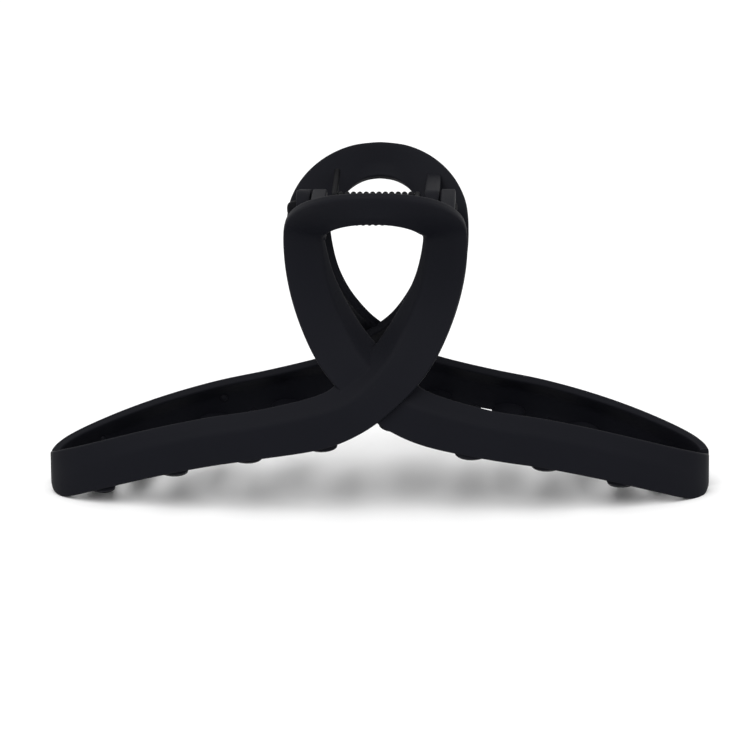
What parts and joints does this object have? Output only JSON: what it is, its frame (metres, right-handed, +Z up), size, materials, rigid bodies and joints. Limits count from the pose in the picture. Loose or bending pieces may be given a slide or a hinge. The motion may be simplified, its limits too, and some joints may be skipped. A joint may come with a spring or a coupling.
{
  "type": "claw clip",
  "caption": "Large matte ribbon-loop hair claw clip: two identical crossed-band jaws with curved teeth, hinged on a pin and sprung shut.",
  "frame": {"origin": "centre of the clip's footprint, on the surface that the jaws' tips stand on", "axes": "+X along the clip, +Y from the front jaw to the back jaw, +Z up towards the handles"},
  "size_m": [0.132, 0.0446, 0.0663],
  "materials": {
    "soft_touch_plastic": "soft-touch matte black",
    "black_pin": "satin black",
    "spring_wire": "satin black"
  },
  "bodies": {
    "back_jaw": {"back_jaw": "soft_touch_plastic", "hinge_pin": "black_pin", "torsion_spring": "spring_wire"},
    "front_jaw": {"front_jaw": "soft_touch_plastic"}
  },
  "joints": [
    {"name": "jaw_hinge", "type": "hinge", "parent": "back_jaw", "child": "front_jaw", "pos_m": [0, 0, 0.05782], "axis": [-1, 0, 0], "range_deg": [0, 130], "stiffness_Nm_per_rad": 0.05, "springref_deg": -34.38, "deforming": ["torsion_spring"]}
  ]
}
